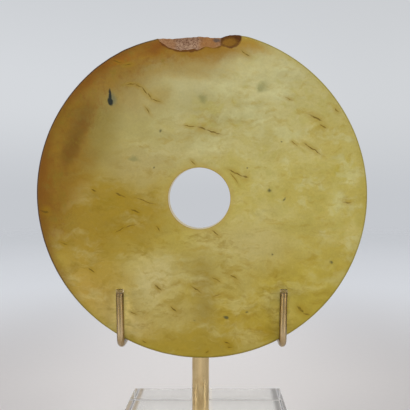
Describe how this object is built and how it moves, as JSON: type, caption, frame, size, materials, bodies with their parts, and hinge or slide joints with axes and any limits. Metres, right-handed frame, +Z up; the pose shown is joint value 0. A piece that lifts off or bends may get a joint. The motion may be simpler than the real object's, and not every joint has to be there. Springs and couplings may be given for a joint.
{
  "type": "bi disc on a stand",
  "caption": "Flat round disc of translucent yellow-green stone with a round hole in its middle and an old break at the rim, held upright by a brass cradle set in a clear acrylic block.",
  "frame": {"origin": "on the surface that the block stands on, below the middle of the disc and in the middle of the block's depth", "axes": "+Z up, +X to the right of the disc's front, +Y from the disc's front to its back"},
  "size_m": [0.1506, 0.08, 0.2005],
  "materials": {
    "stone": "polished, waxy, translucent",
    "brass": "satin",
    "clear_tube": "clear, glossy",
    "acrylic": "clear, polished"
  },
  "bodies": {
    "root": {"bi_disc": "stone", "stem": "brass", "left_hook": "brass", "right_hook": "brass", "left_sleeve": "clear_tube", "right_sleeve": "clear_tube", "base": "acrylic"}
  },
  "joints": []
}
